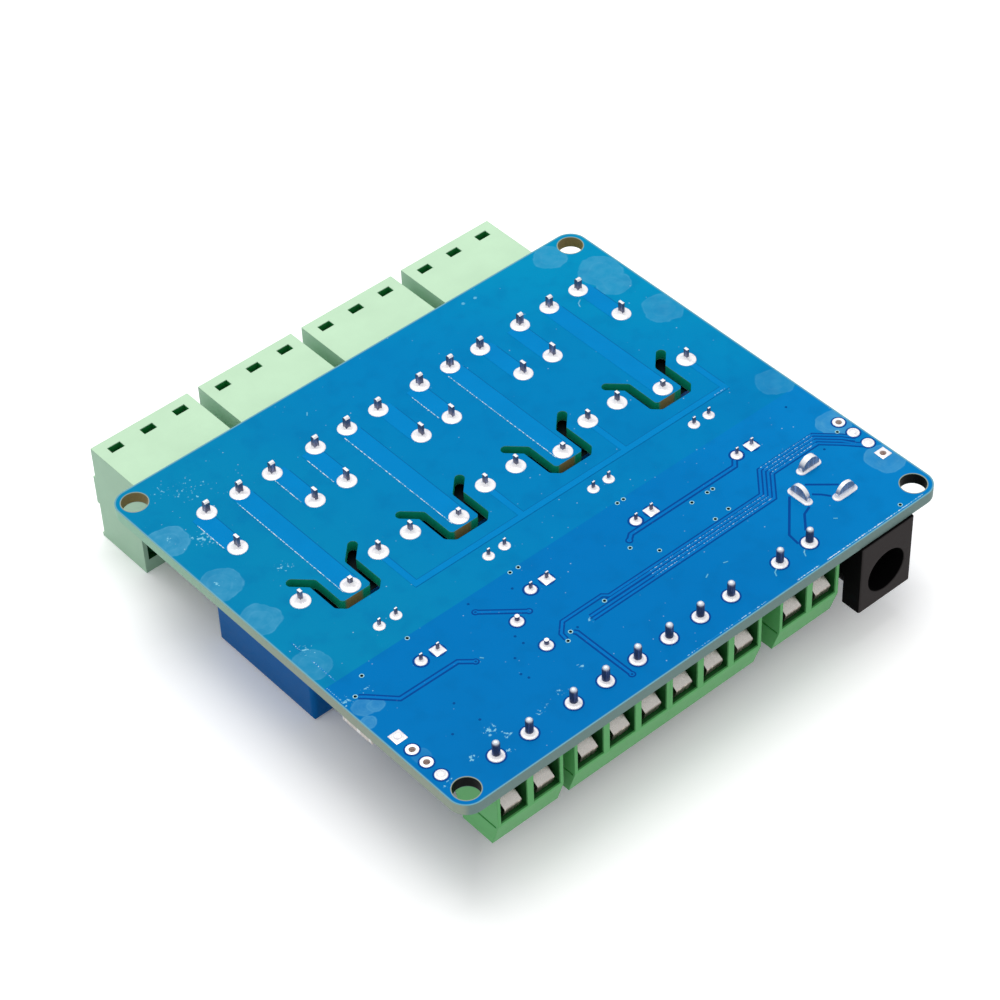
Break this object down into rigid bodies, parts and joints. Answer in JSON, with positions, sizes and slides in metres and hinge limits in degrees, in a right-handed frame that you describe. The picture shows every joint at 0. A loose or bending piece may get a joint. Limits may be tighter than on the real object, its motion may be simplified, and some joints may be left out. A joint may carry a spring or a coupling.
{
  "type": "relay module board",
  "caption": "Relay switching board with pluggable output terminals, rising screw terminals, a barrel power jack and isolation slots, lying solder side up",
  "frame": {"origin": "centre of the rectangle of four mounting holes, on the solder-side face of the board", "axes": "+X along the edge with the screw terminals towards the power jack, +Y from that edge towards the pluggable terminals, +Z out of the solder side; the parts hang below the board at negative Z"},
  "size_m": [0.077, 0.0797, 0.0204],
  "materials": {
    "board": "glass-epoxy laminate under glossy blue solder mask",
    "solder": "bright leaded solder",
    "relay_case": "moulded dark blue casing, satin",
    "tin_plate": "tinned copper alloy",
    "plug_green": "moulded light green nylon",
    "zinc_steel": "zinc-plated steel",
    "terminal_green": "moulded mid green nylon",
    "black_plastic": "moulded black plastic, satin",
    "epoxy_black": "moulded epoxy",
    "can_sleeve": "aluminium can in a dark heat-shrunk sleeve",
    "bung_rubber": "moulded rubber",
    "led_lens": "tinted clear epoxy",
    "resistor": "black-coated ceramic chips"
  },
  "bodies": {
    "root": {"circuit_board": "board", "solder_joints": "solder", "relay_1": "relay_case", "relay_2": "relay_case", "relay_3": "relay_case", "relay_4": "relay_case", "relay_pins_1": "tin_plate", "relay_pins_2": "tin_plate", "relay_pins_3": "tin_plate", "relay_pins_4": "tin_plate", "plug_header_1": "plug_green", "plug_header_2": "plug_green", "plug_header_3": "plug_green", "plug_header_4": "plug_green", "header_pins_1": "tin_plate", "header_pins_2": "tin_plate", "header_pins_3": "tin_plate", "header_pins_4": "tin_plate", "plug_body_1": "plug_green", "plug_body_2": "plug_green", "plug_body_3": "plug_green", "plug_body_4": "plug_green", "plug_cages_1": "zinc_steel", "plug_cages_2": "zinc_steel", "plug_cages_3": "zinc_steel", "plug_cages_4": "zinc_steel", "plug_contacts_1": "tin_plate", "plug_contacts_2": "tin_plate", "plug_contacts_3": "tin_plate", "plug_contacts_4": "tin_plate", "plug_screws": "zinc_steel", "terminal_block_1": "terminal_green", "terminal_block_2": "terminal_green", "terminal_block_3": "terminal_green", "terminal_block_4": "terminal_green", "terminal_contacts_1": "tin_plate", "terminal_contacts_2": "tin_plate", "terminal_contacts_3": "tin_plate", "terminal_contacts_4": "tin_plate", "terminal_leaves": "zinc_steel", "terminal_screws": "zinc_steel", "jack_body": "black_plastic", "jack_centre_pin": "tin_plate", "jack_contacts": "tin_plate", "optocoupler_1": "epoxy_black", "optocoupler_2": "epoxy_black", "optocoupler_3": "epoxy_black", "optocoupler_4": "epoxy_black", "optocoupler_leads": "tin_plate", "capacitor_can": "can_sleeve", "capacitor_bung": "bung_rubber", "capacitor_leads": "tin_plate", "regulator_body": "epoxy_black", "regulator_tab": "tin_plate", "logic_chips": "epoxy_black", "drive_transistors": "epoxy_black", "flyback_diodes": "epoxy_black", "indicator_leds": "led_lens", "resistors": "resistor", "small_part_leads": "tin_plate"}
  },
  "joints": []
}
